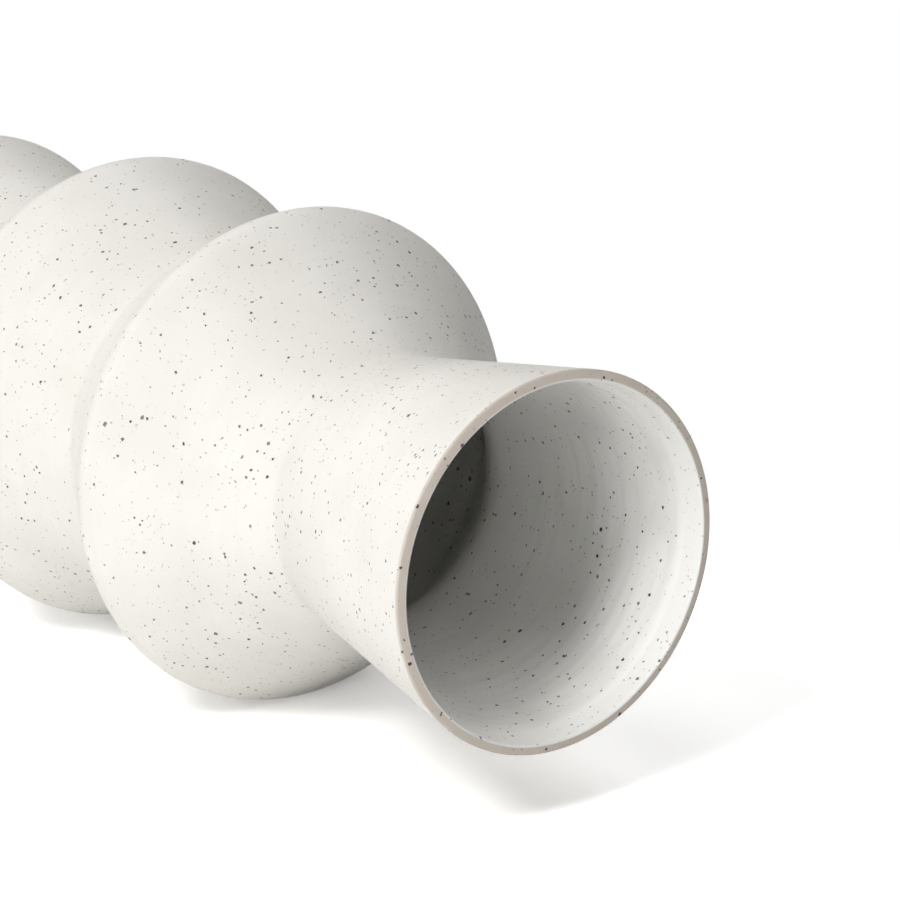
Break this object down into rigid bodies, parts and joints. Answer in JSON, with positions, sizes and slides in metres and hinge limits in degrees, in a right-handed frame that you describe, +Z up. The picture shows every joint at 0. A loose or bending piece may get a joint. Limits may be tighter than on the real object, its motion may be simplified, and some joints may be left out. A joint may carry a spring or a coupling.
{
  "type": "stoneware vase",
  "caption": "Tall stoneware vase with a flared neck over three bulbs with conical flanks, standing on a flat foot ring; holds stems and water.",
  "frame": {"origin": "centre of the foot ring, on the table", "axes": "+Z up along the vase's axis to the mouth; the vase is round, so +X and +Y are any two directions across it"},
  "size_m": [0.166, 0.166, 0.395],
  "materials": {
    "speckled_stoneware": "satin matt off-white, dense fine dark iron speckle",
    "slip_clay": "matt, the same clay body as the sections, sponged smooth",
    "liner_glaze": "satin clear glaze over the speckled body, inside only"
  },
  "bodies": {
    "root": {"foot": "speckled_stoneware", "lower_bulb": "speckled_stoneware", "middle_bulb": "speckled_stoneware", "upper_bulb": "speckled_stoneware", "neck": "speckled_stoneware", "foot_slip": "slip_clay", "lower_waist_slip": "slip_clay", "upper_waist_slip": "slip_clay", "neck_slip": "slip_clay", "liner_glaze": "liner_glaze"}
  },
  "joints": []
}
